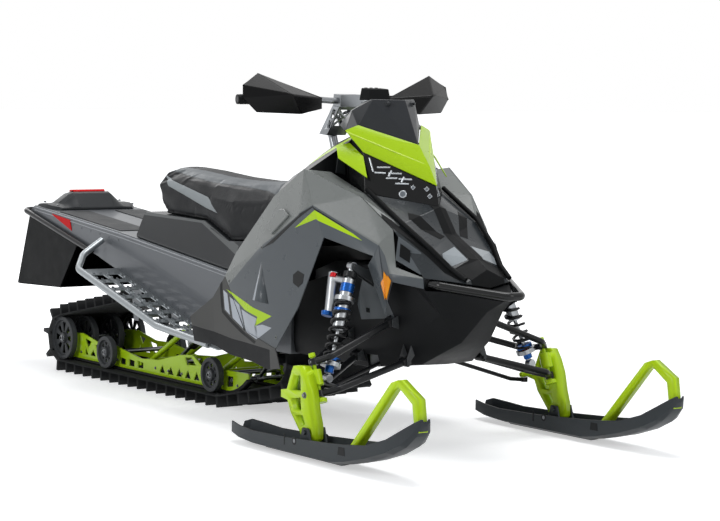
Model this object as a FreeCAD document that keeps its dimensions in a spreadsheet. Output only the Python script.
import FreeCAD, Part
import math
import os
import Sketcher
from FreeCAD import Placement, Rotation, Vector

# Trail snowmobile with a long track and two steered skis, in millimetres.
# X points forward, Y to the rider's left and Z up. The origin lies on the ground
# under the middle of the machine.

os.makedirs("parts", exist_ok=True)
doc = FreeCAD.newDocument("Snowmobile")

# Driving dimensions

DIMENSIONS = {
    # Track loop, a pitch being the distance from one lug row to the next
    "track_width": 380,
    "track_pitch": 72.64,
    "belt_thickness": 7,
    "lug_height": 40,
    "lug_thickness": 14,
    "lug_outer_width": 110,
    "lug_middle_width": 104,
    "lug_gap": 28,
    # Wheels and drive inside the loop
    "rear_wheel_x": -1311,
    "rear_wheel_radius": 90,
    "front_wheel_x": -153,
    "middle_wheel_x": -955,
    "small_wheel_radius": 66,
    "wheel_width": 26,
    "wheel_outer_y": 175,
    "wheel_axle_radius": 9,
    "carrier_wheel_x": -640,
    "carrier_wheel_z": 292,
    "carrier_wheel_radius": 66,
    "drive_x": 294,
    "drive_z": 222,
    "drive_radius": 92,
    "drive_axle_radius": 18,
    # Skid frame
    "rail_y": 128,
    "rail_thickness": 10,
    "slider_height": 12,
    "slider_width": 26,
    "rail_front_x": 52,
    "rail_front_z": 123,
    "rail_rear_x": -1290,
    "arm_tube_radius": 13,
    "cross_shaft_radius": 8,
    "front_arm_x": 130,
    "front_arm_z": 296,
    "front_foot_x": -215,
    "front_foot_z": 110,
    "rear_arm_x": -345,
    "rear_arm_z": 318,
    "rear_foot_x": -760,
    "rear_foot_z": 92,
    "front_shock_x": -80,
    "front_shock_z": 98,
    "rear_shock_x": -690,
    "rear_shock_z": 92,
    # Tunnel and running boards
    "tunnel_width": 420,
    "tunnel_sheet": 3,
    "tunnel_rear_x": -1490,
    "tunnel_rear_z": 679,
    "tunnel_deck_x": -1310,
    "tunnel_deck_z": 663.2,
    "tunnel_ridge_x": -772,
    "tunnel_ridge_z": 612,
    "tunnel_mid_x": 5,
    "tunnel_mid_z": 521,
    "tunnel_front_x": 446,
    "tunnel_front_z": 500,
    "tunnel_tail_x": -1535,
    "tunnel_tail_z": 655,
    "taper_x": -960,
    "taper_z": 507,
    "board_rear_x": -800,
    "board_rear_z": 463,
    "board_mid_x": -201,
    "board_mid_z": 299,
    "board_front_x": 230,
    "board_front_z": 258,
    "board_outer_y": 380,
    "board_sheet": 4,
    "board_tube_radius": 13,
    # Handlebar and steering post
    "post_foot_x": 378,
    "post_foot_z": 1034,
    "post_length": 260,
    "post_radius": 16,
    "post_lean": 21,
    "bar_x": 470,
    "bar_z": 1150,
    "bar_radius": 11,
    "bar_half_length": 395,
    # Front suspension and steering, right side
    "kingpin_y": 486,
    "kingpin_low_x": 1030,
    "kingpin_low_z": 205,
    "kingpin_high_x": 990,
    "kingpin_high_z": 305,
    "kingpin_radius": 7,
    "eye_radius": 15,
    "eye_height": 22,
    "running_gap": 0.1,
    "arm_radius": 11,
    "spindle_y": 524,
    "spindle_width": 44,
    # Skis
    "ski_y": 524,
    "ski_bolt_x": 1053,
    "ski_bolt_z": 88,
    "ski_bolt_radius": 8,
    # Body panels
    "panel_wall": 4,
    "seam": 0.5,
    "seat_gap": 0.3,
    "pivot_pin_radius": 6,
}

sheet = doc.addObject("Spreadsheet::Sheet", "Dims")


class Size:
    """A length worked out from the sheet: its value now, and the formula that binds it."""

    def __init__(self, value, formula):
        self.value = value
        self.formula = formula

    def __float__(self):
        return float(self.value)

    def __add__(self, other):
        other = as_size(other)
        return Size(self.value + other.value, f"({self.formula} + {other.formula})")

    def __sub__(self, other):
        other = as_size(other)
        return Size(self.value - other.value, f"({self.formula} - {other.formula})")

    def __mul__(self, other):
        other = as_size(other)
        return Size(self.value * other.value, f"({self.formula} * {other.formula})")

    def __truediv__(self, other):
        other = as_size(other)
        return Size(self.value / other.value, f"({self.formula} / {other.formula})")

    def __radd__(self, other):
        return as_size(other) + self

    def __rsub__(self, other):
        return as_size(other) - self

    def __rmul__(self, other):
        return as_size(other) * self

    def __neg__(self):
        return as_size(0) - self


def as_size(number):
    if isinstance(number, Size):
        return number
    return Size(float(number), f"{float(number):.6g}")


class Named:
    """The cells of the sheet, each read as a Size by its alias."""


dim = Named()


def name_size(alias, number):
    row = len(vars(dim)) + 1
    sheet.set(f"A{row}", alias)
    sheet.set(f"B{row}", str(number))
    sheet.setAlias(f"B{row}", alias)
    setattr(dim, alias, Size(float(number), f"Dims.{alias}"))


for alias, number in DIMENSIONS.items():
    name_size(alias, number)


def hard_point(name, x, y, z):
    """A corner of the bodywork, with its three coordinates in the sheet."""
    for axis, number in zip("xyz", (x, y, z)):
        name_size(f"{name}_{axis}", number)
    return tuple(getattr(dim, f"{name}_{axis}") for axis in "xyz")


# Ways of making a piece

nodes = {}


def keep(label, piece):
    """The finished piece under its plain name, which is also its file's name."""
    piece.Label = label
    nodes[label] = piece
    return piece


def new_body(name):
    return doc.addObject("PartDesign::Body", name)


def origin_plane(body, role):
    for feature in body.Origin.OriginFeatures:
        if feature.Role == role:
            return feature


def empty_sketch(body, role, offset=0):
    sketch = body.newObject("Sketcher::SketchObject", "Sketch")
    sketch.AttachmentSupport = [(origin_plane(body, role), "")]
    sketch.MapMode = "FlatFace"
    sketch.setExpression("AttachmentOffset.Base.z", as_size(offset).formula)
    return sketch


def polygon(body, role, points, offset=0):
    """A closed outline, each of its corners bound to the sheet."""
    sketch = empty_sketch(body, role, offset)
    add_polygon(sketch, points)
    return sketch


def add_polygon(sketch, points):
    corners = [(as_size(u), as_size(v)) for u, v in points]
    first = sketch.GeometryCount
    count = len(corners)
    places = [Vector(u.value, v.value, 0) for u, v in corners]
    sketch.addGeometry([Part.LineSegment(places[k], places[(k + 1) % count]) for k in range(count)], False)
    ties = []
    for k, (u, v) in enumerate(corners):
        ties.append(Sketcher.Constraint("Coincident", first + k, 2, first + (k + 1) % count, 1))
        ties.append(Sketcher.Constraint("DistanceX", -1, 1, first + k, 1, u.value))
        ties.append(Sketcher.Constraint("DistanceY", -1, 1, first + k, 1, v.value))
    start = sketch.ConstraintCount
    sketch.addConstraint(ties)
    for k, (u, v) in enumerate(corners):
        sketch.setExpression(f"Constraints[{start + 3 * k + 1}]", u.formula)
        sketch.setExpression(f"Constraints[{start + 3 * k + 2}]", v.formula)


def add_circle(sketch, centre, radius):
    u, v, radius = as_size(centre[0]), as_size(centre[1]), as_size(radius)
    index = sketch.GeometryCount
    sketch.addGeometry(Part.Circle(Vector(u.value, v.value, 0), Vector(0, 0, 1), radius.value), False)
    start = sketch.ConstraintCount
    sketch.addConstraint([
        Sketcher.Constraint("DistanceX", -1, 1, index, 3, u.value),
        Sketcher.Constraint("DistanceY", -1, 1, index, 3, v.value),
        Sketcher.Constraint("Radius", index, radius.value),
    ])
    for k, bound in enumerate((u, v, radius)):
        sketch.setExpression(f"Constraints[{start + k}]", bound.formula)


def circles(body, role, centres, radius, offset=0):
    sketch = empty_sketch(body, role, offset)
    for centre in centres:
        add_circle(sketch, centre, radius)
    return sketch


def pad(body, sketch, length, symmetric=True, reverse=False):
    feature = body.newObject("PartDesign::Pad", "Pad")
    feature.Profile = sketch
    feature.SideType = "Symmetric" if symmetric else "One side"
    feature.Reversed = reverse
    feature.setExpression("Length", as_size(length).formula)
    return feature


def pocket(body, sketch, length, symmetric=True, reverse=False):
    feature = body.newObject("PartDesign::Pocket", "Pocket")
    feature.Profile = sketch
    feature.SideType = "Symmetric" if symmetric else "One side"
    feature.Reversed = reverse
    feature.setExpression("Length", as_size(length).formula)
    return feature


def loft(body, sketches):
    feature = body.newObject("PartDesign::AdditiveLoft", "Loft")
    feature.Profile = sketches[0]
    feature.Sections = sketches[1:]
    feature.Ruled = True
    return feature


def section_loft(name, stations):
    """A body lofted straight from one cross-section to the next along X."""
    body = new_body(name)
    loft(body, [polygon(body, "YZ_Plane", points, x) for x, points in stations])
    return body


def both_sides(half):
    """A cross-section's right half, from bottom to top, closed by its mirror image."""
    return list(half) + [(-y, z) for y, z in reversed(half) if as_size(y).value != 0]


def across(name, outline, width, middle_y=0):
    """A plate or block with its outline seen from the side and its width across."""
    body = new_body(name)
    pad(body, polygon(body, "XZ_Plane", outline, -as_size(middle_y)), width)
    return body


def mirrored(piece):
    """The same piece on the other side of the machine."""
    twin = doc.addObject("Part::Mirroring", "Mirrored")
    twin.Source = piece
    twin.Base = Vector(0, 0, 0)
    twin.Normal = Vector(0, 1, 0)
    return twin


def pair(piece):
    return together([piece, mirrored(piece)])


def together(pieces):
    group = doc.addObject("Part::Compound", "Group")
    group.Links = pieces
    return group


def fused(pieces):
    fusion = doc.addObject("Part::MultiFuse", "Fusion")
    fusion.Shapes = pieces
    fusion.Refine = False
    return fusion


def cut(piece, tool):
    result = doc.addObject("Part::Cut", "Cut")
    result.Base = piece
    result.Tool = tool
    result.Refine = True
    return result


def vector(point):
    return Vector(*[as_size(number).value for number in point])


def along(start, end, share):
    return tuple(a + (b - a) * share for a, b in zip(start, end))


def shape_piece(name, shape):
    piece = doc.addObject("Part::Feature", name)
    piece.Shape = shape
    piece.Placement = Placement()
    return piece


def rod(name, start, end, radius):
    """A straight round bar between two points."""
    start, end = vector(start), vector(end)
    piece = doc.addObject("Part::Cylinder", name)
    piece.setExpression("Radius", as_size(radius).formula)
    piece.Height = (end - start).Length
    piece.Placement = Placement(start, Rotation(Vector(0, 0, 1), end - start))
    return piece


def cross_rod(name, x, z, half_length, radius):
    """A round bar lying across the machine, centred on it."""
    piece = doc.addObject("Part::Cylinder", name)
    piece.setExpression("Radius", as_size(radius).formula)
    piece.setExpression("Height", (2 * as_size(half_length)).formula)
    piece.Placement = Placement(Vector(), Rotation(Vector(1, 0, 0), -90))
    piece.setExpression("Placement.Base.x", as_size(x).formula)
    piece.setExpression("Placement.Base.y", (-as_size(half_length)).formula)
    piece.setExpression("Placement.Base.z", as_size(z).formula)
    return piece


def route_wire(points, bend):
    """Straight runs joined by tangent arcs of one radius, or less where a run is short."""
    places = [vector(point) for point in points]
    edges = []
    start = places[0]
    for before, corner, after in zip(places, places[1:], places[2:]):
        back = (before - corner).normalize()
        ahead = (after - corner).normalize()
        half_angle = back.getAngle(ahead) / 2
        reach = min(as_size(bend).value / math.tan(half_angle), 0.45 * (before - corner).Length,
                    0.45 * (after - corner).Length)
        arc_start = corner + back * reach
        arc_end = corner + ahead * reach
        radius = reach * math.tan(half_angle)
        centre = corner + (back + ahead).normalize() * (radius / math.sin(half_angle))
        arc_middle = centre + (corner - centre).normalize() * radius
        edges.append(Part.LineSegment(start, arc_start).toShape())
        edges.append(Part.Arc(arc_start, arc_middle, arc_end).toShape())
        start = arc_end
    edges.append(Part.LineSegment(start, places[-1]).toShape())
    return Part.Wire(edges)


def tube(name, points, radius, bend):
    """A round bar bent along a route."""
    wire = route_wire(points, bend)
    start = wire.Edges[0].Vertexes[0].Point
    along = wire.Edges[0].tangentAt(wire.Edges[0].FirstParameter)
    ring = Part.Wire([Part.Circle(start, along, as_size(radius).value).toShape()])
    return shape_piece(name, wire.makePipeShell([ring], True, False))


def turned_normal(corners, facet):
    a, b, c = [corners[name] for name in facet[:3]]
    return (b - a).cross(c - a).normalize()


def facet_shell(name, points, facets, wall, inside):
    """A moulded panel of flat facets between named corners, with a wall of even thickness.

    The corners are the outer surface. Facets turn their outer face away from the inside point.
    """
    corners = {key: vector(point) for key, point in points.items()}
    middle = vector(inside)
    outward = []
    for facet in facets:
        centre = sum((corners[key] for key in facet), Vector()) * (1.0 / len(facet))
        normal = turned_normal(corners, facet)
        outward.append(list(facet) if normal.dot(centre - middle) > 0 else list(reversed(facet)))
    normals = {key: Vector() for key in corners}
    for facet in outward:
        for key in facet:
            normals[key] = normals[key] + turned_normal(corners, facet)
    inner = {key: corners[key] - normals[key].normalize() * as_size(wall).value
             for key in corners if normals[key].Length > 0}
    faces = []
    edges = {}
    for facet in outward:
        faces.extend(flat_faces([corners[key] for key in facet]))
        faces.extend(flat_faces([inner[key] for key in reversed(facet)]))
        for start, end in zip(facet, facet[1:] + facet[:1]):
            edges[(start, end)] = True
    for start, end in edges:
        if (end, start) not in edges:
            faces.extend(flat_faces([corners[end], corners[start], inner[start], inner[end]]))
    return shape_piece(name, solid_of(faces))


def facet_solid(name, points, facets):
    """A closed moulding of flat facets between named corners."""
    corners = {key: vector(point) for key, point in points.items()}
    faces = []
    for facet in facets:
        faces.extend(flat_faces([corners[key] for key in facet]))
    return shape_piece(name, solid_of(faces))


def flat_faces(places):
    """One face where the corners lie in a plane, and otherwise a fan of triangles."""
    normal = (places[1] - places[0]).cross(places[2] - places[0]).normalize()
    if all(abs(normal.dot(place - places[0])) < 1e-6 for place in places):
        return [Part.Face(Part.makePolygon(list(places) + [places[0]]))]
    fans = []
    for second, third in zip(places[1:], places[2:]):
        fans.append(Part.Face(Part.makePolygon([places[0], second, third, places[0]])))
    return fans


def solid_of(faces):
    shell = Part.makeShell(faces)
    solid = Part.makeSolid(shell)
    if solid.Volume < 0:
        solid.reverse()
    return solid


def mirror_points(points):
    """Corners of the right half with those of the left half added, named with an L."""
    whole = {}
    for key, (x, y, z) in points.items():
        whole[key] = (x, -as_size(y), z)
        if as_size(y).value != 0:
            whole[key + "L"] = (x, as_size(y), z)
    return whole


def mirror_facets(points, facets):
    """Facets of the right half with their twins on the left."""
    twins = []
    for facet in facets:
        twin = [key + "L" if as_size(points[key][1]).value != 0 else key for key in facet]
        if twin != list(facet):
            twins.append(list(reversed(twin)))
    return [list(facet) for facet in facets] + twins

# Hard points of the bodywork: X, half of the distance across, and Z

panel_rear = hard_point("panel_rear", 204, 335, 520)
panel_edge = hard_point("panel_edge", 230, 305, 606)
panel_knee = hard_point("panel_knee", 405, 262, 814)
panel_top = hard_point("panel_top", 663, 312, 920)
ridge_middle = hard_point("ridge_middle", 892, 236, 835)
ridge_front = hard_point("ridge_front", 1023, 197, 732)
nose_side = hard_point("nose_side", 1063, 212, 612)
nose_corner = hard_point("nose_corner", 1169, 180, 584)
nose_corner_low = hard_point("nose_corner_low", 1170, 176, 547)
nose_side_low = hard_point("nose_side_low", 1062, 226, 563)
strip_front = hard_point("strip_front", 999, 237, 681)
strip_top = hard_point("strip_top", 747, 330, 802)
strip_middle = hard_point("strip_middle", 673, 335, 762)
strip_rear = hard_point("strip_rear", 456, 345, 647)
facet_peak = hard_point("facet_peak", 481, 355, 622)
arch_top_rear = hard_point("arch_top_rear", 835, 345, 699)
arch_top_front = hard_point("arch_top_front", 1006, 262, 645)
arch_low_rear = hard_point("arch_low_rear", 754, 390, 460)
panel_toe = hard_point("panel_toe", 636, 400, 308)
panel_heel = hard_point("panel_heel", 418, 385, 349)
arch_front = hard_point("arch_front", 950, 245, 610)
marker_low = hard_point("marker_low", 1059, 245, 494)
arch_front_low = hard_point("arch_front_low", 1045, 240, 452)
lamp_side = hard_point("lamp_side", 815, 165, 842)
lamp_base = hard_point("lamp_base", 1019, 0, 804)
strake_rear = hard_point("strake_rear", 1014, 162, 747)
strake_middle = hard_point("strake_middle", 1143, 133, 666)
strake_front = hard_point("strake_front", 1218, 106, 605)
strake_end = hard_point("strake_end", 1284, 91, 570)
hood_upper = hard_point("hood_upper", 1088, 0, 714)
hood_lower = hard_point("hood_lower", 1230, 0, 641)
hood_tip = hard_point("hood_tip", 1278, 0, 612)
hood_end = hard_point("hood_end", 1296, 0, 554)
hood_rear = hard_point("hood_rear", 663, 200, 909)
visor_rear = hard_point("visor_rear", 716, 181, 1053)
visor_peak = hard_point("visor_peak", 728, 136, 1071)
visor_notch = hard_point("visor_notch", 896, 0, 1008)
visor_ridge = hard_point("visor_ridge", 960, 0, 936)
visor_tip = hard_point("visor_tip", 1001, 0, 874)
visor_low = hard_point("visor_low", 779, 150, 981)
cowl_rear = hard_point("cowl_rear", 580, 0, 1152)
cowl_front = hard_point("cowl_front", 812, 0, 1159)
cowl_shoulder = hard_point("cowl_shoulder", 744, 90, 1160)
cowl_side = hard_point("cowl_side", 655, 110, 1121)
cowl_low = hard_point("cowl_low", 639, 150, 1069)
bumper_end = hard_point("bumper_end", 1216, 148, 560)
bumper_front = hard_point("bumper_front", 1425, 28, 536)


def inward(point, across=0, up=0, forward=0):
    """A hard point moved towards the middle, up or forward by a little."""
    x, y, z = point
    return (x + forward, y - across, z + up)


# Track loop: where the belt's inner face runs round each wheel

belt_drop = dim.lug_height + dim.belt_thickness
small_wheel_z = belt_drop + dim.small_wheel_radius + 1
slider_x = -100
slider_radius = 240


def loop_circles():
    """Centre and radius of every round stretch of the loop, going forward along the ground."""
    rear_z = belt_drop + dim.rear_wheel_radius
    carrier = (dim.carrier_wheel_x, dim.carrier_wheel_z, dim.carrier_wheel_radius)
    return [
        (dim.rear_wheel_x, rear_z, dim.rear_wheel_radius),
        (as_size(slider_x), belt_drop + slider_radius, as_size(slider_radius)),
        (dim.drive_x, dim.drive_z, dim.drive_radius),
        carrier,
    ]


def loop_runs():
    """The loop as straight runs and arcs: start, direction, length and turning radius."""
    rounds = [tuple(as_size(number).value for number in circle) for circle in loop_circles()]
    headings = []
    for (x1, z1, r1), (x2, z2, r2) in zip(rounds, rounds[1:] + rounds[:1]):
        gap = math.hypot(x2 - x1, z2 - z1)
        headings.append(math.atan2(z2 - z1, x2 - x1) + math.asin((r1 - r2) / gap))
    runs = []
    for k, (x, z, radius) in enumerate(rounds):
        arrive = headings[k - 1]
        leave = headings[k]
        turn = (leave - arrive) % (2 * math.pi)
        runs.append(("arc", x, z, radius, arrive, turn))
        x2, z2, r2 = rounds[(k + 1) % len(rounds)]
        start = (x + radius * math.sin(leave), z - radius * math.cos(leave))
        end = (x2 + r2 * math.sin(leave), z2 - r2 * math.cos(leave))
        runs.append(("line", start, end, leave))
    return runs


def run_length(run):
    if run[0] == "arc":
        return run[3] * run[5]
    return math.hypot(run[2][0] - run[1][0], run[2][1] - run[1][1])


def loop_place(runs, travel, lift):
    """The point at one distance along the loop, lifted outward from the belt's inner face."""
    for run in runs:
        length = run_length(run)
        if travel <= length:
            break
        travel -= length
    if run[0] == "arc":
        _, x, z, radius, arrive, _ = run
        heading = arrive + travel / radius
        base = (x + radius * math.sin(heading), z - radius * math.cos(heading))
    else:
        _, start, _, heading = run
        base = (start[0] + travel * math.cos(heading), start[1] + travel * math.sin(heading))
    return Vector(base[0] + lift * math.sin(heading), 0, base[1] - lift * math.cos(heading))


def loop_wire(runs, lift):
    """The smooth outline of the loop, lifted outward from the belt's inner face."""
    edges = []
    for run in runs:
        if run[0] == "arc":
            _, x, z, radius, arrive, turn = run
            places = []
            for share in (0, 0.5, 1):
                heading = arrive + turn * share
                places.append(Vector(x + (radius + lift) * math.sin(heading), 0,
                                     z - (radius + lift) * math.cos(heading)))
            edges.append(Part.Arc(*places).toShape())
        else:
            _, start, end, heading = run
            shift = Vector(lift * math.sin(heading), 0, -lift * math.cos(heading))
            edges.append(Part.LineSegment(Vector(start[0], 0, start[1]) + shift,
                                          Vector(end[0], 0, end[1]) + shift).toShape())
    return Part.Wire(edges)


def track_loop():
    """The belt, with three lugs across it at every pitch."""
    runs = loop_runs()
    total = sum(run_length(run) for run in runs)
    count = round(total / dim.track_pitch.value)
    pitch = total / count
    belt = dim.belt_thickness.value
    tip = belt + dim.lug_height.value
    half_root = dim.lug_thickness.value / 2
    half_tip = 0.7 * half_root
    outline = []
    for k in range(count):
        middle = (k + 0.5) * pitch
        for along, lift in ((-half_root, belt), (-half_tip, tip), (half_tip, tip), (half_root, belt)):
            outline.append(loop_place(runs, middle + along, lift))
    inside = Part.Face(loop_wire(runs, 0))
    bare = [place for k, place in enumerate(outline) if k % 4 in (0, 3)]
    lugged = Part.Face(Part.makePolygon(outline + outline[:1])).cut(inside)
    plain = Part.Face(Part.makePolygon(bare + bare[:1])).cut(inside)
    half_track = dim.track_width.value / 2
    half_middle = dim.lug_middle_width.value / 2
    inner = half_track - dim.lug_outer_width.value
    strips = []
    for face, low, high in ((lugged, -half_track, -inner), (plain, -inner, -half_middle),
                            (lugged, -half_middle, half_middle), (plain, half_middle, inner),
                            (lugged, inner, half_track)):
        strip = face.copy()
        strip.translate(Vector(0, low, 0))
        strips.append(strip.Faces[0].extrude(Vector(0, high - low, 0)))
    return strips[0].multiFuse(strips[1:]).removeSplitter()


keep("track", shape_piece("Track", track_loop()))

# Wheels: a rubber tyre on a spoked plastic disc, turning on a bearing


def wheel_disc(name, radius, spokes):
    """One wheel standing on the origin's plane, its axle along Y."""
    body = new_body(name)
    half = dim.wheel_width / 2
    hub = dim.wheel_axle_radius + 12
    web = as_size(4)
    rim = radius - 16
    profile = polygon(body, "YZ_Plane", [
        (-half, dim.wheel_axle_radius + dim.running_gap), (half, dim.wheel_axle_radius + dim.running_gap),
        (half, hub), (web, hub + 4), (web, rim - 4), (half, rim), (half, radius - 3), (half - 3, radius - 1),
        (3 - half, radius - 1), (-half, radius - 3), (-half, rim), (-web, rim - 4), (-web, hub + 4),
        (-half, hub),
    ])
    disc = body.newObject("PartDesign::Revolution", "Revolution")
    disc.Profile = profile
    disc.ReferenceAxis = (profile, ["H_Axis"])
    disc.Angle = 360
    half_slot = math.pi / spokes * 0.55
    low, high = (hub + 7).value, (rim - 8).value
    slot = polygon(body, "XZ_Plane", [
        (low * math.sin(-half_slot), low * math.cos(half_slot)),
        (high * math.sin(-half_slot), high * math.cos(half_slot)),
        (high * math.sin(half_slot), high * math.cos(half_slot)),
        (low * math.sin(half_slot), low * math.cos(half_slot)),
    ])
    window = pocket(body, slot, dim.wheel_width)
    doc.recompute()
    ring = body.newObject("PartDesign::PolarPattern", "Spokes")
    ring.Originals = [window]
    ring.Axis = (slot, ["N_Axis"])
    ring.Angle = 360
    ring.Occurrences = spokes
    body.Tip = ring
    return body


def wheels_at(name, disc, places):
    """The same wheel at several places."""
    copies = []
    for x, y, z in places:
        copy = doc.addObject("App::Link", name)
        copy.LinkedObject = disc
        copy.LinkTransform = False
        copy.Placement = Placement(vector((x, y, z)), Rotation())
        copies.append(copy)
    return copies


wheel_y = dim.wheel_outer_y - dim.wheel_width / 2
rear_wheel_z = belt_drop + dim.rear_wheel_radius
large_disc = wheel_disc("LargeWheel", dim.rear_wheel_radius, 8)
small_disc = wheel_disc("SmallWheel", dim.small_wheel_radius, 8)
doc.recompute()


def on_both_sides(x, y, z):
    return [(x, -y, z), (x, y, z)]


inner_wheel_y = 60
keep("rear_wheels", together(
    wheels_at("RearWheel", large_disc, on_both_sides(dim.rear_wheel_x, wheel_y, rear_wheel_z)
              + on_both_sides(dim.rear_wheel_x, as_size(inner_wheel_y), rear_wheel_z))))
keep("idler_wheels", together(
    wheels_at("IdlerWheel", small_disc, on_both_sides(dim.middle_wheel_x, wheel_y, small_wheel_z)
              + on_both_sides(dim.front_wheel_x, wheel_y, small_wheel_z)
              + on_both_sides(dim.carrier_wheel_x, as_size(inner_wheel_y), dim.carrier_wheel_z))))

# Axles across the skid frame

axle_reach = dim.wheel_outer_y + 6
tunnel_inside = dim.tunnel_width / 2 - dim.tunnel_sheet
between_rails = dim.rail_y - dim.rail_thickness / 2
small_axles = [
    cross_rod("MiddleAxle", dim.middle_wheel_x, small_wheel_z, axle_reach, dim.wheel_axle_radius),
    cross_rod("FrontAxle", dim.front_wheel_x, small_wheel_z, axle_reach, dim.wheel_axle_radius),
    cross_rod("CarrierAxle", dim.carrier_wheel_x, dim.carrier_wheel_z, tunnel_inside, dim.wheel_axle_radius),
    cross_rod("RearAxle", dim.rear_wheel_x, rear_wheel_z, axle_reach, dim.wheel_axle_radius),
    cross_rod("FrontShockShaft", dim.front_shock_x, dim.front_shock_z, between_rails, dim.cross_shaft_radius),
    cross_rod("RearShockShaft", dim.rear_shock_x, dim.rear_shock_z, between_rails, dim.cross_shaft_radius),
]
keep("skid_axles", together(small_axles))

# Skid rails: two tall aluminium beams with a braced web, and the plastic runners under them

rail_foot = belt_drop + dim.slider_height
rail_radius = slider_radius - dim.slider_height
curve_steps = 5
curve_end = math.radians(42)


def slider_curve(radius):
    """Points up the round front of the rail, from the flat run to the tip."""
    points = []
    for k in range(curve_steps + 1):
        angle = curve_end * k / curve_steps
        points.append((slider_x + as_size(radius) * math.sin(angle),
                       belt_drop + slider_radius - as_size(radius) * math.cos(angle)))
    return points


def skid_rail():
    body = new_body("SkidRail")
    outline = [(dim.rail_rear_x, rail_foot)] + slider_curve(rail_radius)
    outline += [(dim.rail_front_x, dim.rail_front_z + 14), (-284, rail_foot + 73), (-343, rail_foot + 106),
                (-432, rail_foot + 98), (-597, rail_foot + 60), (-737, rail_foot + 50),
                (-938, rail_foot + 80), (-1061, rail_foot + 76), (-1210, rail_foot + 104),
                (-1345, rail_foot + 98), (-1345, rail_foot + 52)]
    pad(body, polygon(body, "XZ_Plane", outline, dim.rail_y), dim.rail_thickness)
    web_low = rail_foot + 12
    braces = []
    for k in range(5):
        foot = -590 + 64 * k
        braces.append([(foot, web_low), (foot + 44, web_low), (foot + 22, web_low + 34)])
    for k in range(3):
        foot = -900 + 70 * k
        braces.append([(foot, web_low), (foot + 46, web_low), (foot + 46, web_low + 24), (foot, web_low + 28)])
    for k in range(3):
        foot = -230 + 66 * k
        braces.append([(foot, web_low), (foot + 46, web_low + 4 * k), (foot + 46, web_low + 44), (foot, web_low + 44)])
    for window in braces:
        pocket(body, polygon(body, "XZ_Plane", window, dim.rail_y), dim.rail_thickness + 2)
    return body


axle_bores = together([
    cross_rod("MiddleBore", dim.middle_wheel_x, small_wheel_z, axle_reach, dim.wheel_axle_radius + 0.1),
    cross_rod("FrontBore", dim.front_wheel_x, small_wheel_z, axle_reach, dim.wheel_axle_radius + 0.1),
    cross_rod("RearBore", dim.rear_wheel_x, rear_wheel_z, axle_reach, dim.wheel_axle_radius + 0.1),
])
keep("skid_rails", pair(cut(skid_rail(), axle_bores)))


def slide_runner():
    body = new_body("SlideRunner")
    low = slider_curve(slider_radius)
    high = slider_curve(rail_radius)
    outline = [(dim.rail_rear_x, rail_foot), (dim.rail_rear_x, belt_drop)] + low + high[::-1]
    pad(body, polygon(body, "XZ_Plane", outline, dim.rail_y), dim.slider_width)
    return body


keep("slide_runners", pair(slide_runner()))

# Tunnel: a folded aluminium sheet over the track, open below and behind


def tunnel_top(x):
    """Height of the tunnel's upper face at one distance forward."""
    if as_size(x).value < dim.tunnel_deck_x.value:
        x1, z1, x2, z2 = dim.tunnel_rear_x, dim.tunnel_rear_z, dim.tunnel_deck_x, dim.tunnel_deck_z
    elif as_size(x).value < dim.tunnel_ridge_x.value:
        x1, z1, x2, z2 = dim.tunnel_deck_x, dim.tunnel_deck_z, dim.tunnel_ridge_x, dim.tunnel_ridge_z
    elif as_size(x).value < dim.tunnel_mid_x.value:
        x1, z1, x2, z2 = dim.tunnel_ridge_x, dim.tunnel_ridge_z, dim.tunnel_mid_x, dim.tunnel_mid_z
    else:
        x1, z1, x2, z2 = dim.tunnel_mid_x, dim.tunnel_mid_z, dim.tunnel_front_x, dim.tunnel_front_z
    return z1 + (z2 - z1) * ((x - x1) / (x2 - x1))


def foot_height(x):
    """Height of the tunnel's foot between its taper and the running board's middle."""
    share = (x - dim.taper_x) / (dim.board_mid_x - dim.taper_x)
    return dim.taper_z + (dim.board_mid_z - dim.taper_z) * share


def hanger(x, z):
    """Outline of the bracket that reaches down from the tunnel's foot round a cross shaft."""
    half, spread = 18, 44
    return [(x - spread, foot_height(x - spread)), (x - half, z - half), (x + half, z - half),
            (x + spread, foot_height(x + spread))]


def rack_holes():
    """Four bolt holes on a circle through the deck, for a rack behind the seat."""
    x, around, radius, reach = -1050, 75, 3.3, 12
    high, low = dim.tunnel_deck_z.value, dim.tunnel_ridge_z.value
    run = dim.tunnel_ridge_x.value - dim.tunnel_deck_x.value
    up = FreeCAD.Vector(high - low, 0, run).normalize()
    back = FreeCAD.Vector(-run, 0, high - low).normalize()
    middle = FreeCAD.Vector(x, 0, low + (high - low) * (dim.tunnel_ridge_x.value - x) / run)
    holes = []
    for turn in (45, 135, 225, 315):
        side = FreeCAD.Vector(0, around * math.sin(math.radians(turn)), 0)
        centre = middle + back * (around * math.cos(math.radians(turn))) + side
        holes.append(rod("RackHole", tuple(centre - up * reach), tuple(centre + up * reach), radius))
    return holes


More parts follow.
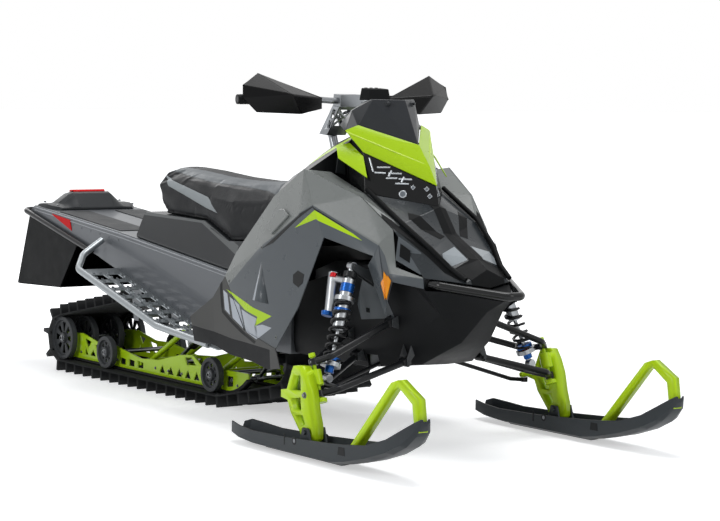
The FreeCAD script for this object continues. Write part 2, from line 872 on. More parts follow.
def tunnel():
    body = new_body("Tunnel")
    sheet_metal = dim.tunnel_sheet
    top = [(dim.tunnel_front_x, dim.tunnel_front_z), (dim.tunnel_mid_x, dim.tunnel_mid_z),
           (dim.tunnel_ridge_x, dim.tunnel_ridge_z), (dim.tunnel_deck_x, dim.tunnel_deck_z),
           (dim.tunnel_rear_x, dim.tunnel_rear_z)]
    drive_half = 28
    foot = [(dim.taper_x, dim.taper_z)] + hanger(dim.carrier_wheel_x, dim.carrier_wheel_z)
    foot += hanger(dim.rear_arm_x, dim.rear_arm_z)
    foot += [(dim.board_mid_x, dim.board_mid_z), (dim.board_front_x, dim.board_front_z),
             (dim.drive_x - drive_half, dim.drive_z - drive_half),
             (dim.drive_x + drive_half, dim.drive_z - drive_half),
             (dim.drive_x + 2 * drive_half, dim.board_front_z), (dim.tunnel_front_x, dim.board_front_z)]
    outline = top + [(dim.tunnel_tail_x, dim.tunnel_tail_z)] + foot
    pad(body, polygon(body, "XZ_Plane", outline), dim.tunnel_width)
    hollow = [(dim.tunnel_front_x - sheet_metal, dim.tunnel_front_z - sheet_metal)]
    hollow += [(x, z - sheet_metal) for x, z in top[1:4]]
    hollow += [(dim.tunnel_tail_x - 60, dim.tunnel_rear_z - sheet_metal + 8), (dim.tunnel_tail_x - 60, 150),
               (dim.tunnel_front_x - sheet_metal, 150)]
    pocket(body, polygon(body, "XZ_Plane", hollow), dim.tunnel_width - sheet_metal * 2)
    return cut(body, together(rack_holes()))


keep("tunnel", tunnel())

# Running boards: a pierced plate along each foot of the tunnel, edged with a round tube

board_line = [(dim.board_rear_x, dim.board_rear_z), (dim.board_mid_x, dim.board_mid_z),
              (dim.board_front_x, dim.board_front_z)]


def running_board():
    body = new_body("RunningBoard")
    width = dim.board_outer_y - dim.tunnel_width / 2
    middle = (dim.board_outer_y + dim.tunnel_width / 2) / 2
    outline = board_line + [(x, z + dim.board_sheet) for x, z in board_line[::-1]]
    pad(body, polygon(body, "XZ_Plane", outline, middle), width)
    openings = empty_sketch(body, "XY_Plane")
    columns = 8
    for k in range(columns):
        rear = dim.board_rear_x + 60 + 84 * k
        for row in range(2):
            near = -(dim.tunnel_width / 2 + 26 + 66 * row)
            add_polygon(openings, [(rear, near), (rear + 56, near), (rear + 56, near - 46), (rear, near - 46)])
    pocket(body, openings, 1200)
    return body


def board_tube():
    y = -dim.board_outer_y
    brace_y = -(dim.tunnel_width / 2 + dim.board_tube_radius)
    route = [(-892, brace_y, 572), (dim.board_rear_x - 70, y + 60, dim.board_rear_z + 56),
             (dim.board_rear_x, y, dim.board_rear_z + 6), (dim.board_mid_x, y, dim.board_mid_z + 6),
             (dim.board_front_x - 60, y, dim.board_front_z + 14)]
    return tube("BoardTube", route, dim.board_tube_radius, 60)


keep("running_boards", pair(fused([running_board(), board_tube()])))

# Swing arms, shocks and torsion springs inside the loop

front_arm_top = (dim.front_arm_x, dim.front_arm_z)
rear_arm_top = (dim.rear_arm_x, dim.rear_arm_z)


def swing_arm(name, top, foot, leg_y):
    """An arm's cross tube at the tunnel, its two legs, and the tube that joins the rails."""
    bars = [cross_rod(name + "Top", top[0], top[1], tunnel_inside, dim.arm_tube_radius),
            cross_rod(name + "Foot", foot[0], foot[1], between_rails, dim.arm_tube_radius)]
    for side in (-1, 1):
        bars.append(rod(name + "Leg", (top[0], side * leg_y, top[1]), (foot[0], side * (leg_y - 10), foot[1]),
                        dim.arm_tube_radius - 2))
    return fused(bars)


keep("front_swing_arm", swing_arm("FrontArm", front_arm_top, (dim.front_foot_x, dim.front_foot_z), 96))
keep("rear_swing_arm", swing_arm("RearArm", rear_arm_top, (dim.rear_foot_x, dim.rear_foot_z), 84))


def skid_shock(name, foot, head, body_radius, shaft_radius, body_share):
    """A damper in the middle of the skid, with an eye round the tube at each end."""
    eye_wall, eye_half = 7, 15
    start, end = (foot[0], 0, foot[1]), (head[0], 0, head[1])
    middle = along(start, end, 1 - body_share)
    parts = [rod(name + "Shaft", start, middle, shaft_radius), rod(name + "Body", middle, end, body_radius)]
    bores = []
    for (x, z), radius in ((foot, dim.cross_shaft_radius), (head, dim.arm_tube_radius)):
        parts.append(cross_rod(name + "Eye", x, z, eye_half, radius + eye_wall))
        bores.append(cross_rod(name + "Bore", x, z, 2 * eye_half, radius + dim.running_gap))
    return cut(fused(parts), together(bores))


keep("skid_shocks", together([
    skid_shock("FrontSkidShock", (dim.front_shock_x, dim.front_shock_z), front_arm_top, 22, 7, 0.6),
    skid_shock("RearSkidShock", (dim.rear_shock_x, dim.rear_shock_z), rear_arm_top, 24, 8, 0.62),
]))


def coil(name, foot, head, radius, wire, turns):
    """A coil spring of square-faced wire round the line from foot to head."""
    foot, head = vector(foot), vector(head)
    axis = head - foot
    steps = 10
    turn = Rotation(Vector(0, 0, 1), axis)
    places = []
    for k in range(turns * steps + 1):
        angle = 2 * math.pi * k / steps
        climb = wire + (axis.Length - 2 * wire) * k / (turns * steps)
        places.append(foot + turn.multVec(Vector(radius * math.cos(angle), radius * math.sin(angle), climb)))
    path = Part.makePolygon(places)
    start = places[0]
    out = turn.multVec(Vector(1, 0, 0)) * wire
    up = turn.multVec(Vector(0, 0, 1)) * wire
    ring = Part.makePolygon([start + out + up, start - out + up, start - out - up, start + out - up,
                             start + out + up])
    return shape_piece(name, path.makePipeShell([ring], True, True, 1))


def torsion_spring():
    """The coil that lies round the rear arm's cross tube, close to its surface."""
    half_wire = 4
    radius = dim.arm_tube_radius.value + half_wire + 2.6
    x, z = rear_arm_top
    return coil("TorsionSpring", (x, -70, z), (x, -26, z), radius, half_wire, 4)


keep("torsion_springs", pair(torsion_spring()))

# Rear end: bumper tube, snow flap, lamp pod and its lenses

def rear_bumper():
    radius = as_size(11)
    y = dim.tunnel_width / 2 + radius + dim.seat_gap
    rear = (dim.tunnel_tail_x - 30, dim.tunnel_tail_z + 2)
    front = (dim.taper_x - 20, dim.taper_z + 14)
    route = [(front[0], -y, front[1]), (rear[0], -y, rear[1]), (rear[0], y, rear[1]), (front[0], y, front[1])]
    return tube("RearBumper", route, radius, 30)


keep("rear_bumper", rear_bumper())


def snow_flap():
    """A rubber sheet folded round three sides behind the track."""
    body = new_body("SnowFlap")
    thickness = 5
    hang = 0.3
    rear_x, rear_z = dim.tunnel_tail_x, dim.tunnel_tail_z - hang
    front_x = -1110
    slope = (dim.tunnel_tail_z - dim.taper_z) / (dim.taper_x - dim.tunnel_tail_x)
    front_z = dim.tunnel_tail_z - slope * (front_x - dim.tunnel_tail_x) - hang
    low_rear, low_front = (-1650, 339), (-1262, 352)
    outline = [(rear_x, rear_z), (front_x, front_z), low_front, low_rear]
    pad(body, polygon(body, "XZ_Plane", outline), dim.tunnel_width)
    hollow = [(rear_x + thickness + 2, rear_z + 20), (0, front_z + 20), (0, 300), (low_rear[0] + thickness + 14, 300)]
    pocket(body, polygon(body, "XZ_Plane", hollow), dim.tunnel_width - 2 * thickness)
    return body


keep("snow_flap", snow_flap())


def tail_pod():
    """A low moulded deck over the tunnel's rear end, with the raised lamp housing on it."""
    stations = []
    for x, wide, deck, top_half, top in ((-1478, 205, 8, 90, 9), (-1448, 205, 14, 96, 52), (-1405, 205, 16, 92, 66),
                                         (-1376, 200, 14, 84, 62), (-1330, 170, 9, 80, 10)):
        base = tunnel_top(x) + dim.seat_gap
        stations.append((x, both_sides([(wide, base), (wide - 8, base + deck), (top_half + 55, base + deck + 1),
                                        (top_half, base + top)])))
    return section_loft("TailPod", stations)


keep("tail_pod", tail_pod())


def tail_lenses():
    base = tunnel_top(-1405) + dim.seat_gap + 66
    strip = across("TailLamp", [(-1440, base - 8), (-1440, base + 6), (-1412, base + 8), (-1404, base + 0.2)], 150)
    side = new_body("SideReflector")
    outline = [(-1338, 652), (-1180, 635), (-1166, 592), (-1318, 643)]
    pad(side, polygon(side, "XZ_Plane", outline, dim.tunnel_width / 2), 3, symmetric=False)
    return together([cut(strip, nodes["tail_pod"]), side, mirrored(side)])


keep("tail_lenses", tail_lenses())

# Tank shell, seat and console

tank_stations = [(-655, 205, 168, 698), (-200, 205, 178, 690), (-8, 205, 190, 626), (236, 205, 198, 640),
                 (440, 200, 192, 640)]


def tank():
    stations = []
    for x, low_half, top_half, top in tank_stations:
        base = tunnel_top(x) + dim.seat_gap
        stations.append((x, both_sides([(low_half, base), (low_half, base + 12), (top_half, top)])))
    return section_loft("Tank", stations)


keep("fuel_tank", tank())


def seat():
    stations = []
    for x, base, half, shoulder, shoulder_half, crown in (
            (-640, 698, 125, 800, 96, 866), (-594, 697, 150, 838, 104, 877), (-400, 694, 160, 826, 128, 868),
            (-200, 690, 174, 812, 140, 852), (-8, 626, 188, 800, 140, 846), (131, 634, 176, 806, 124, 850),
            (236, 640, 160, 820, 108, 862)):
        foot = base + dim.seat_gap
        stations.append((x, both_sides([(half - 12, foot), (half, foot + 40), (half - 4, shoulder - 30),
                                        (shoulder_half, shoulder + 22), (40, crown)])))
    return section_loft("Seat", stations)


keep("seat", seat())


def steering_axis():
    """The steering post's foot and its unit direction, leaning back towards the rider."""
    lean = math.radians(dim.post_lean.value)
    foot = Vector(dim.post_foot_x.value, 0, dim.post_foot_z.value)
    return foot, Vector(-math.sin(lean), 0, math.cos(lean))


def post_hole(clearance):
    foot, up = steering_axis()
    low = foot - up * (dim.post_length.value + 12)
    return rod("PostHole", tuple(low), tuple(foot + up * 40), dim.post_radius + clearance)


def console():
    stations = []
    for x, base, foot_half, side_half, side, edge_half, edge, crown in (
            (240, 640, 200, 296, 615, 120, 838, 850), (330, 640, 205, 274, 722, 130, 880, 900),
            (405, 640, 210, 256, 811, 140, 905, 960), (512, 640, 214, 277, 854, 120, 960, 1008),
            (640, 700, 200, 300, 903, 112, 1010, 1050)):
        foot = base + dim.seat_gap
        stations.append((x, both_sides([(foot_half, foot), (side_half, side), (edge_half, edge), (60, crown)])))
    return cut(section_loft("Console", stations), post_hole(dim.running_gap))


keep("console", console())

# Side panels: faceted mouldings round the suspension's arch


def side_panel(side):
    corners = {
        "rear": panel_rear, "edge": panel_edge, "knee": panel_knee, "top": panel_top,
        "ridge": ridge_middle, "front": ridge_front, "nose": nose_side, "corner": nose_corner,
        "corner_low": nose_corner_low, "nose_low": nose_side_low, "strip_front": strip_front,
        "strip_top": strip_top, "strip_middle": strip_middle, "strip_rear": strip_rear, "peak": facet_peak,
        "arch_rear": arch_top_rear, "arch_front": arch_top_front, "arch_low": arch_low_rear,
        "toe": panel_toe, "heel": panel_heel, "marker": marker_low, "arch_inner": arch_front,
        "arch_foot": arch_front_low,
    }
    facets = [
        ("rear", "edge", "strip_rear"), ("edge", "knee", "strip_rear"), ("knee", "top", "strip_middle"),
        ("knee", "strip_middle", "strip_rear"), ("top", "strip_top", "strip_middle"),
        ("top", "ridge", "strip_top"), ("ridge", "strip_front", "strip_top"), ("ridge", "front", "strip_front"),
        ("front", "nose", "strip_front"), ("nose", "nose_low", "strip_front"), ("nose", "corner", "nose_low"),
        ("corner", "corner_low", "nose_low"),
        ("rear", "strip_rear", "peak"), ("rear", "peak", "heel"), ("peak", "toe", "heel"),
        ("peak", "arch_low", "toe"), ("peak", "strip_rear", "strip_middle"), ("peak", "strip_middle", "arch_rear"),
        ("peak", "arch_rear", "arch_low"), ("strip_middle", "strip_top", "arch_rear"),
        ("strip_top", "strip_front", "arch_front"), ("strip_top", "arch_front", "arch_rear"),
        ("strip_front", "nose_low", "marker"), ("strip_front", "marker", "arch_front"),
        ("arch_front", "marker", "arch_foot"), ("arch_front", "arch_foot", "arch_inner"),
    ]
    placed = {key: (x, side * y, z) for key, (x, y, z) in corners.items()}
    return facet_shell("SidePanel", placed, facets, dim.panel_wall, (700, 0, 560))


keep("right_side_panel", side_panel(-1))
keep("left_side_panel", side_panel(1))

# Hood, headlamp, cowl and visor: symmetrical mouldings


def symmetric_shell(name, half, facets, wall, inside):
    return facet_shell(name, mirror_points(half), mirror_facets(half, facets), wall, inside)




def hood():
    rim = dim.panel_wall + dim.seam
    half = {
        "rear": hood_rear, "lamp": lamp_side, "base": lamp_base, "s1": strake_rear, "s2": strake_middle,
        "s3": strake_front, "s4": strake_end, "upper": hood_upper, "lower": hood_lower, "tip": hood_tip,
        "end": hood_end, "top": inward(panel_top, rim, -1), "ridge": inward(ridge_middle, rim, -1),
        "front": inward(ridge_front, rim, -1), "corner": inward(nose_corner, rim, -1),
    }
    facets = [
        ("rear", "lamp", "top"), ("lamp", "ridge", "top"), ("lamp", "s1", "ridge"), ("s1", "front", "ridge"),
        ("lamp", "base", "s1"), ("base", "upper", "s1"), ("upper", "s2", "s1"), ("upper", "lower", "s2"),
        ("lower", "s3", "s2"), ("lower", "tip", "s3"), ("tip", "s4", "s3"), ("tip", "end", "s4"),
        ("s1", "s2", "front"), ("s2", "corner", "front"), ("s2", "s3", "corner"), ("s3", "s4", "corner"),
    ]
    return symmetric_shell("Hood", half, facets, dim.panel_wall, (900, 0, 500))


keep("hood", hood())


def headlamp():
    top = inward(visor_low, 3.8, -1, -2)
    tip = inward(visor_tip, 0, -2, -4.3)
    base = inward(lamp_base, 0, dim.seam, -4)
    side = inward(lamp_side, dim.seam, dim.seam, -1)
    depth = 90
    half = {
        "top": top, "tip": tip, "base": base, "side": side,
        "top_back": inward(top, 0, 0, -depth), "tip_back": inward(tip, 0, 0, -2 * depth),
        "base_back": inward(base, 0, 0, -2 * depth), "side_back": inward(side, 0, 0, -depth),
    }
    facets = [
        ("top", "tip", "base"), ("top", "base", "side"), ("top_back", "base_back", "tip_back"),
        ("top_back", "side_back", "base_back"), ("top", "top_back", "tip_back"), ("top", "tip_back", "tip"),
        ("side", "base", "base_back"), ("side", "base_back", "side_back"), ("top", "side", "side_back"),
        ("top", "side_back", "top_back"),
    ]
    return facet_solid("Headlamp", mirror_points(half), mirror_facets(half, facets))


keep("headlamp", headlamp())


def cowl():
    half = {
        "back": cowl_rear, "front": cowl_front, "shoulder": cowl_shoulder, "side": cowl_side, "low": cowl_low,
        "notch": inward(visor_notch, 0, -3, -4), "peak": inward(visor_peak, 5, -5, -5),
        "brow": inward(visor_rear, 5, -4, -7),
    }
    facets = [("back", "front", "shoulder"), ("back", "shoulder", "side"), ("front", "notch", "shoulder"),
              ("notch", "peak", "shoulder"), ("shoulder", "peak", "side"), ("peak", "brow", "side"),
              ("brow", "low", "side")]
    return symmetric_shell("Cowl", half, facets, dim.panel_wall, (760, 0, 1000))


keep("cowl", cowl())


def visor():
    half = {"rear": visor_rear, "peak": visor_peak, "notch": visor_notch, "ridge": visor_ridge,
            "tip": visor_tip, "low": visor_low}
    facets = [("rear", "peak", "notch"), ("rear", "notch", "ridge"), ("rear", "ridge", "tip"), ("rear", "tip", "low")]
    return symmetric_shell("Visor", half, facets, dim.panel_wall, (700, 0, 900))


keep("visor", visor())


def cheek_panels():
    half = {"a": (676, 190, 1001), "b": (696, 146, 1009), "c": (783, 151, 967), "d": (834, 170, 896),
            "e": (718, 210, 959)}
    facets = [("a", "b", "c"), ("a", "c", "e"), ("e", "c", "d")]
    placed = {key: (x, -y, z) for key, (x, y, z) in half.items()}
    return pair(facet_shell("CheekPanel", placed, facets, dim.panel_wall, (700, 0, 900)))


keep("cheek_panels", cheek_panels())

# Belly pan, nose and what they carry


pan_rear = dim.tunnel_front_x + dim.seat_gap
pan_corners = {
    "t0": (pan_rear, 198, 500), "t1": (860, 222, 600), "t2": (1020, 196, 630),
    "t3": inward(nose_corner_low, 6, -8), "t4": (1222, 134, 540), "t5": (1404, 26, 520),
    "w0": (pan_rear, 198, 300), "w1": (860, 196, 330), "w2": (1065, 150, 375), "w3": (1182, 120, 464),
    "b0": (pan_rear, 190, 262), "b1": (860, 170, 256), "b2": (1074, 108, 283), "b3": (1225, 60, 369),
    "b4": (1324, 34, 478), "c0": (pan_rear, 0, 262), "c1": (860, 0, 250), "c2": (1074, 0, 279),
    "c3": (1225, 0, 366), "c4": (1324, 0, 476), "c5": (1404, 0, 520),
}
pan_facets = [
    ("t0", "t1", "w1"), ("t0", "w1", "w0"), ("t1", "t2", "w2"), ("t1", "w2", "w1"), ("t2", "t3", "w3"),
    ("t2", "w3", "w2"), ("t3", "t4", "w3"), ("t4", "b4", "w3"), ("t4", "t5", "b4"),
    ("w0", "w1", "b1"), ("w0", "b1", "b0"), ("w1", "w2", "b2"), ("w1", "b2", "b1"), ("w2", "w3", "b3"),
    ("w2", "b3", "b2"), ("w3", "b4", "b3"), ("b0", "b1", "c1"), ("b0", "c1", "c0"), ("b1", "b2", "c2"),
    ("b1", "c2", "c1"), ("b2", "b3", "c3"), ("b2", "c3", "c2"), ("b3", "b4", "c4"), ("b3", "c4", "c3"),
    ("b4", "t5", "c5"), ("b4", "c5", "c4"),
]


def pan_side(x, z):
    """Distance across of the belly pan's outer surface at one place seen from the side."""
    x, z = as_size(x).value, as_size(z).value
    found = []
    for facet in pan_facets:
        a, b, c = [vector(pan_corners[key]) for key in facet]
        area = (b.x - a.x) * (c.z - a.z) - (c.x - a.x) * (b.z - a.z)
        if abs(area) < 1:
            continue
        s = ((x - a.x) * (c.z - a.z) - (c.x - a.x) * (z - a.z)) / area
        t = ((b.x - a.x) * (z - a.z) - (x - a.x) * (b.z - a.z)) / area
        if min(s, t, 1 - s - t) >= 0:
            found.append(a.y + s * (b.y - a.y) + t * (c.y - a.y))
    return max(found)


def window_box(name, low, high):
    """A block between two corners, used to open a window."""
    piece = doc.addObject("Part::Box", name)
    for size, start, end in zip(("Length", "Width", "Height"), low, high):
        piece.setExpression(size, (as_size(end) - start).formula)
    for axis, start in zip("xyz", low):
        piece.setExpression(f"Placement.Base.{axis}", as_size(start).formula)
    return piece


tie_window_low = (864, -220, 230)
tie_window_high = (910, -56, 302)


def belly_pan():
    pan = symmetric_shell("BellyPan", pan_corners, pan_facets, dim.panel_wall, (950, 0, 540))
    return cut(pan, pair(window_box("TieRodWindow", tie_window_low, tie_window_high)))


keep("belly_pan", belly_pan())
keep("engine", across("Engine", [(520, 264.6), (840, 259.6), (860, 259.6), (860, 560), (640, 600), (520, 560)], 320))


def footwell_guard():
    """The black moulding that closes the footwell under the side panel's lower edge."""
    clear = dim.board_outer_y + dim.board_tube_radius + dim.panel_wall + dim.running_gap
    half = {
        "rear": inward(panel_rear, 0, -dim.seam), "heel": inward(panel_heel, -4, -dim.seam),
        "toe": inward(panel_toe, -2, -dim.seam), "nose": (660, 398, 240), "low_front": (584, clear, 230),
        "low": (482, clear, 247), "low_middle": (340, clear, 256), "low_rear": (240, clear, 278),
        "corner": (100, clear, 280), "tail": (70, clear, 366), "back": (163, 360, 441),
    }
    facets = [("rear", "heel", "back"), ("heel", "low_rear", "back"), ("back", "low_rear", "tail"),
              ("tail", "low_rear", "corner"), ("heel", "low_middle", "low_rear"), ("heel", "low", "low_middle"),
              ("heel", "toe", "low"), ("toe", "low_front", "low"), ("toe", "nose", "low_front")]
    placed = {key: (x, -as_size(y), z) for key, (x, y, z) in half.items()}
    return facet_shell("FootwellGuard", placed, facets, dim.panel_wall, (300, 0, 300))


keep("footwell_guards", pair(footwell_guard()))


def nose_grille():
    """The slatted black panel between the hood's end and the bumper."""
    half = {
        "corner": inward(nose_corner, 8, -8), "strake": inward(strake_end, 2, -8), "end": inward(hood_end, 0, -6),
        "side": (1216, 122, 544), "front": (1396, 22, 524), "middle": (1396, 0, 524),
    }
    facets = [("corner", "strake", "side"), ("strake", "end", "middle"), ("strake", "middle", "front"),
              ("strake", "front", "side")]
    grille = symmetric_shell("NoseGrille", half, facets, dim.panel_wall, (1200, 0, 400))
    return cut(grille, bumper_tube("BumperSeat", bumper_radius + dim.seat_gap))


bumper_radius = as_size(14)


def bumper_tube(name, radius):
    end_x, end_y, end_z = bumper_end
    front_x, front_y, front_z = bumper_front
    route = [(end_x - 40, -end_y - 4, end_z + 4), (end_x, -end_y, end_z), (front_x, -front_y, front_z),
             (front_x, front_y, front_z), (end_x, end_y, end_z), (end_x - 40, end_y + 4, end_z + 4)]
    return tube(name, route, radius, 30)


keep("nose_grille", nose_grille())
keep("front_bumper", bumper_tube("FrontBumper", bumper_radius))


def hood_strakes():
    """The raised black bars that run down the hood to the nose."""
    lift = 12
    route = [inward(lamp_side, 2, 14, 8), inward(strake_rear, 0, lift), inward(strake_middle, 0, lift),
             inward(strake_front, 0, lift), inward(strake_end, 0, lift)]
    placed = [(x, -y, z) for x, y, z in route]
    return pair(cut(tube("HoodStrake", placed, 8, 60), nodes["hood"]))


keep("hood_strakes", hood_strakes())


def facet_plate(name, corners, shares, lift, thickness):
    """A flat plate parallel to a facet, its corners given as shares of the facet's three."""
    a, b, c = [vector((x, -as_size(y), z)) for x, y, z in corners]
    outward = (b - a).cross(c - a).normalize()
    if outward.y > 0:
        outward = outward * -1
    places = [a * p + b * q + c * (1 - p - q) + outward * lift for p, q in shares]
    face = Part.Face(Part.makePolygon(places + places[:1]))
    return shape_piece(name, face.extrude(outward * thickness))


def side_markers():
    shares = [(0.25, 0.62), (0.05, 0.92), (0.02, 0.1), (0.12, 0.08)]
    corners = (strip_front, nose_side_low, marker_low)
    return pair(facet_plate("SideMarker", corners, shares, dim.seat_gap.value, 5))


keep("side_markers", side_markers())
keep("gauge", across("Gauge", [(600, 1154.2), (672, 1156.6), (660, 1194), (612, 1197)], 84))

# Bulkhead: the plates and cross tubes that carry the front arms

upper_inner = ((790, 214, 366), (1010, 193, 423))
lower_inner = ((835, 206, 292), (1052, 160, 293))


shock_foot = (992, -430, 248.9)
shock_head = (937, -300, 609)
pivot_half = 18
ear_thickness = 5


def ear_pair(name, x, middle_half, outline):
    """Two plates across the pan's side, one on each side of an eye."""
    start = middle_half + 0.3
    ears = []
    for low in (x - start - ear_thickness, x + start):
        body = new_body(name)
        sketches = [polygon(body, "YZ_Plane", outline, low), polygon(body, "YZ_Plane", outline, low + ear_thickness)]
        loft(body, sketches)
        ears.append(body)
    return ears


def pan_seat(x, z, reach):
    """The pan's surface, moved out by the seat gap, at the widest place over an ear pair's length."""
    return -max(pan_side(x - reach, z), pan_side(x + reach, z)) - dim.seat_gap


def clevis(name, pivot, middle_half, low, high):
    """Two ears on the frame with the bolt that an arm or a damper turns on."""
    x, y, z = pivot
    reach = middle_half + ear_thickness
    outline = [(pan_seat(x, low, reach), low), (-(y + 7), z - 12), (-(y + 7), z + 12),
               (pan_seat(x, high, reach), high)]
    bolt = rod(name + "Bolt", (x - reach - 3, -y, z), (x + reach + 3, -y, z), dim.pivot_pin_radius)
    return fused(ear_pair(name, x, middle_half, outline) + [bolt])


def bulkhead():
    """The clevises that carry the front arms and the dampers' heads."""
    brackets = []
    for pivot, low, high in zip(upper_inner + lower_inner, (344, 402, 276, 316), (388, 446, 316, 350)):
        brackets.append(clevis("ArmClevis", pivot, pivot_half, low, high))
    head_x, head_y, head_z = shock_head
    brackets.append(clevis("DamperClevis", (head_x, -head_y, head_z), 12, 535, 584))
    return pair(together(brackets))


keep("bulkhead", bulkhead())

# Front suspension, right side first: arms, shock, spring, spindle, ski and tie rod


def kingpin():
    low = Vector(dim.kingpin_low_x.value, -dim.kingpin_y.value, dim.kingpin_low_z.value)
    high = Vector(dim.kingpin_high_x.value, -dim.kingpin_y.value, dim.kingpin_high_z.value)
    return low, high, (high - low).normalize()


def on_axis(name, centre, length, radius):
    up = kingpin()[2]
    return rod(name, tuple(centre - up * (length / 2)), tuple(centre + up * (length / 2)), radius)


def wishbone(name, centre, bends, inner):
    """Two bent tubes from an eye on the kingpin to the two inner pivots."""
    eye = on_axis(name + "Eye", centre, dim.eye_height.value, dim.eye_radius)
    parts = [eye]
    for bend, pivot in zip(bends, inner):
        x, y, z = pivot
        parts.append(tube(name + "Tube", [tuple(centre), bend, (x, -y, z)], dim.arm_radius, 25))
        parts.append(rod(name + "Pivot", (x - pivot_half, -y, z), (x + pivot_half, -y, z), dim.arm_radius + 4))
    holes = [on_axis(name + "Hole", centre, 80, dim.kingpin_radius + dim.running_gap)]
    for x, y, z in inner:
        holes.append(rod(name + "Bore", (x - 30, -y, z), (x + 30, -y, z), dim.pivot_pin_radius + dim.running_gap))
    return parts, together(holes)


def upper_arm():
    parts, holes = wishbone("UpperArm", kingpin()[1], ((936, -452, 292), (1034, -448, 326)), upper_inner)
    return cut(fused(parts), holes)


def lower_arm():
    parts, holes = wishbone("LowerArm", kingpin()[0], ((960, -430, 222), (1072, -440, 224)), lower_inner)
    parts.append(rod("ShockBridge", (966, -428, 224), (1070, -432, 226), 10))
    return cut(fused(parts), holes)


keep("upper_arms", pair(upper_arm()))
keep("lower_arms", pair(lower_arm()))


def front_shock():
    foot, head = shock_foot, shock_head
    parts = [
        rod("ShockEye", (foot[0] - 12, foot[1], foot[2]), (foot[0] + 12, foot[1], foot[2]), 14),
        rod("ShockNeck", along(foot, head, 0.86), head, 10),
        rod("ShockHead", (head[0] - 12, head[1], head[2]), (head[0] + 12, head[1], head[2]), 14),
        rod("ShockShaft", foot, along(foot, head, 0.45), 7),
        rod("ShockSeat", along(foot, head, 0.10), along(foot, head, 0.14), 34),
        rod("ShockBody", along(foot, head, 0.42), along(foot, head, 0.88), 21),
        rod("SpringCollar", along(foot, head, 0.68), along(foot, head, 0.72), 34),
        rod("Reservoir", (885, -348, 452), (862, -318, 582), 21),
        rod("ReservoirLink", (866, -330, 566), (936, -318, 560), 12),
    ]
    bore = rod("HeadBore", (head[0] - 30, head[1], head[2]), (head[0] + 30, head[1], head[2]),
               dim.pivot_pin_radius + dim.running_gap)
    return cut(fused(parts), bore)


keep("front_shocks", pair(front_shock()))
keep("front_springs", pair(coil("FrontSpring", along(shock_foot, shock_head, 0.145),
                                along(shock_foot, shock_head, 0.675), 28, 4, 7)))


def right_spindle():
    low, high, up = kingpin()
    outline = [(892, 184), (892, 208), (926, 214), (955, 280), (964, 294), (1000, 295), (1024, 262), (1046, 216),
               (1062, 150), (1076, 110), (1076, 66), (1062, 54), (1024, 54), (1004, 84), (950, 140), (930, 178)]
    body = new_body("Spindle")
    pad(body, polygon(body, "XZ_Plane", outline, dim.spindle_y), dim.spindle_width)
    for window in ([(946, 212), (966, 264), (1004, 266), (1008, 214)], [(950, 186), (1006, 194), (1012, 150), (966, 150)],
                   [(976, 134), (1020, 138), (1034, 110), (1006, 96)]):
        pocket(body, polygon(body, "XZ_Plane", window, dim.spindle_y), dim.spindle_width + 2)
    lug = 14
    away = dim.eye_height.value / 2 + 5 + lug / 2
    parts = [body, on_axis("TopNut", high + up * away, lug, 11), on_axis("LowLug", low - up * away, lug, 20),
             on_axis("Boss", (low + high) * 0.5, 52, 20),
             rod("Kingpin", tuple(low - up * away), tuple(high + up * away), dim.kingpin_radius),
             rod("SteerArm", (905, -512, 196), (905, -460, 196), 9)]
    bore = rod("SkiBore", (dim.ski_bolt_x, -dim.spindle_y - 60, dim.ski_bolt_z),
               (dim.ski_bolt_x, -dim.spindle_y + 60, dim.ski_bolt_z), dim.ski_bolt_radius + dim.running_gap)
    return cut(fused(parts), bore)


spindle = right_spindle()
keep("right_spindle", spindle)
keep("left_spindle", mirrored(spindle))

ski_stations = [(608, 34, 26, 64), (626, 24, 44, 72), (690, 14, 56, 66), (780, 8, 61, 60), (1000, 8, 64, 66),
                (1230, 8, 65, 80), (1310, 20, 64, 86), (1420, 46, 61, 98), (1520, 78, 56, 130), (1590, 112, 47, 168),
                (1632, 150, 33, 194), (1650, 184, 18, 206)]


def ski_blade():
    stations = []
    for x, keel, half, top in ski_stations:
        middle = -dim.ski_y
        sole = min(26, half - 14) if half > 20 else 6
        right = [(half, keel + 11), (half, top), (half - 7, top), (half - 13, keel + 14)]
        section = [(middle - sole, keel), (middle + sole, keel)]
        section += [(middle + y, z) for y, z in right]
        section += [(middle - y, z) for y, z in right[::-1]]
        stations.append((x, section))
    body = section_loft("SkiBlade", stations)
    ears = []
    for side in (-1, 1):
        outline = [(dim.ski_bolt_x - 42, 22), (dim.ski_bolt_x + 42, 22), (dim.ski_bolt_x + 16, dim.ski_bolt_z + 14),
                   (dim.ski_bolt_x - 16, dim.ski_bolt_z + 14)]
        ears.append(across("SkiEar", outline, 8, -dim.ski_y + side * (dim.spindle_width / 2 + 9)))
    bolt = rod("SkiBolt", (dim.ski_bolt_x, -dim.ski_y - 42, dim.ski_bolt_z),
               (dim.ski_bolt_x, -dim.ski_y + 42, dim.ski_bolt_z), dim.ski_bolt_radius)
    return fused([body] + ears + [bolt])


def ski_loop():
    outline = [(1262, 24), (1298, 24), (1312, 74), (1500, 276), (1530, 292), (1604, 246), (1620, 150),
               (1641, 164), (1626, 262), (1530, 312), (1494, 300), (1284, 78)]
    return across("SkiLoop", outline, 34, -dim.ski_y)


def ski_runner():
    outline = [(760, 8), (780, 0), (1220, 0), (1250, 8)]
    return across("SkiRunner", outline, 10, -dim.ski_y)


blade = ski_blade()
loop = cut(ski_loop(), blade)
runner = ski_runner()
keep("right_ski", blade)
keep("right_ski_loop", loop)
keep("right_ski_runner", runner)
keep("left_ski", mirrored(blade))
keep("left_ski_loop", mirrored(loop))
keep("left_ski_runner", mirrored(runner))

tie_outer = (905, -477, 177.8)
tie_inner = (880, -70, 292)


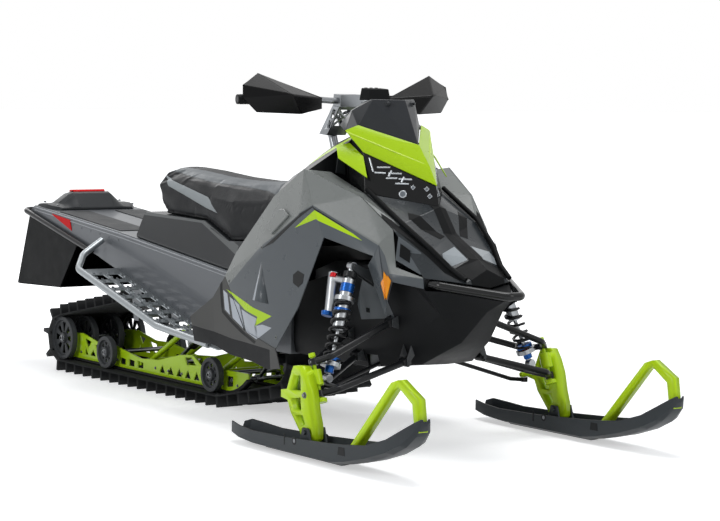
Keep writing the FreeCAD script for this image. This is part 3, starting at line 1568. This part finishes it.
def tie_rod():
    x, y, z = tie_outer
    eye = rod("TieEye", (x, y, z - 8), (x, y, z + 8), 12)
    bar = tube("TieBar", [(x, y + 6, z), (x - 4, y + 60, z + 6), tie_inner], 7, 40)
    return fused([eye, bar])


rod_piece = tie_rod()
keep("right_tie_rod", rod_piece)
keep("left_tie_rod", mirrored(rod_piece))

# Drive sprockets inside the loop's front end


def sprockets():
    body = new_body("Sprocket")
    teeth = 8
    outer = dim.drive_radius - 2
    points = []
    for k in range(teeth):
        for share, radius in ((-0.32, outer - 12), (-0.2, outer), (0.2, outer), (0.32, outer - 12)):
            angle = 2 * math.pi * (k + share) / teeth
            points.append((radius * math.cos(angle), radius * math.sin(angle)))
    pad(body, polygon(body, "XZ_Plane", points), 24)
    copies = []
    for y in (-82, 82):
        copy = doc.addObject("App::Link", "SprocketCopy")
        copy.LinkedObject = body
        copy.LinkTransform = False
        copy.Placement = Placement(vector((dim.drive_x, y, dim.drive_z)), Rotation())
        copies.append(copy)
    axle = cross_rod("DriveAxle", dim.drive_x, dim.drive_z, dim.tunnel_width / 2 - dim.tunnel_sheet,
                     dim.drive_axle_radius)
    return fused(copies + [axle])


keep("drive_sprockets", sprockets())

# Steering post, riser, handlebar and what is clamped to it


def steering_post():
    foot, up = steering_axis()
    post = rod("Post", tuple(foot - up * dim.post_length.value), tuple(foot + up * 12), dim.post_radius)
    riser = across("Riser", [(356, 1030), (404, 1026), (484, 1134), (452, 1150)], 84)
    window = across("RiserWindow", [(392, 1056), (406, 1052), (450, 1114), (434, 1122)], 46)
    clamp = across("BarClamp", [(446, 1132), (492, 1128), (494, 1172), (450, 1174)], 92)
    bar_hole = cross_rod("BarHole", dim.bar_x, dim.bar_z, as_size(60), dim.bar_radius)
    return cut(cut(fused([post, riser, clamp]), window), bar_hole)


keep("steering_riser", steering_post())


def handlebar():
    y = dim.bar_half_length + 45
    x, z = dim.bar_x, dim.bar_z
    right = [(x, 0, z), (x, -70, z), (x + 18, -150, z + 4), (x - 34, -y, z + 2)]
    half = tube("BarHalf", right, dim.bar_radius, 70)
    return fused([half, mirrored(half)])


keep("handlebar", handlebar())


def bar_straight():
    """Both ends of the bar's straight outer run on the right."""
    x, z = dim.bar_x, dim.bar_z
    return (x + 18, -150, z + 4), (x - 34, -(dim.bar_half_length + 45), z + 2)


def grips():
    start, end = bar_straight()
    inner, outer = along(start, end, 0.56), along(start, end, 1.0)
    core = rod("GripCore", along(start, end, 0.5), along(start, end, 1.1), dim.bar_radius)
    return pair(cut(rod("Grip", inner, outer, 17), core))


keep("grips", grips())


def hand_guards():
    half = {
        "inner": (519, 142, 1122), "inner_top": (518, 142, 1160), "low": (556, 252, 1104),
        "peak": (456, 370, 1243), "outer": (478, 444, 1158), "outer_low": (496, 398, 1108),
        "front": (572, 304, 1172), "outer_top": (468, 438, 1201),
    }
    facets = [("inner", "front", "inner_top"), ("inner", "low", "front"), ("low", "outer_low", "front"),
              ("inner_top", "front", "peak"), ("front", "outer_top", "peak"), ("front", "outer", "outer_top"),
              ("front", "outer_low", "outer")]
    placed = {key: (x, -y, z) for key, (x, y, z) in half.items()}
    shell = facet_shell("HandGuard", placed, facets, dim.panel_wall, (460, -300, 1150))
    start, end = bar_straight()
    clamp = [rod("GuardClamp", along(start, end, 0.09), along(start, end, 0.17), dim.bar_radius + 5),
             rod("GuardStrut", along(start, end, 0.13), (529, -187, 1143), 7)]
    bore = rod("ClampBore", along(start, end, 0.05), along(start, end, 0.25), dim.bar_radius + dim.running_gap)
    return pair(cut(fused([shell] + clamp), bore))


keep("hand_guards", hand_guards())

# Every piece is checked before its file is written

doc.recompute()
for thing in doc.Objects:
    if "Invalid" in thing.State or "Error" in thing.State:
        raise RuntimeError(f"{thing.Label} did not build: {thing.State}")
for label, piece in nodes.items():
    if piece.Shape.isNull() or not piece.Shape.isValid() or not piece.Shape.Solids:
        raise RuntimeError(f"{label} has no valid solid")
for label, piece in nodes.items():
    piece.Shape.exportStep(f"parts/{label}.step")
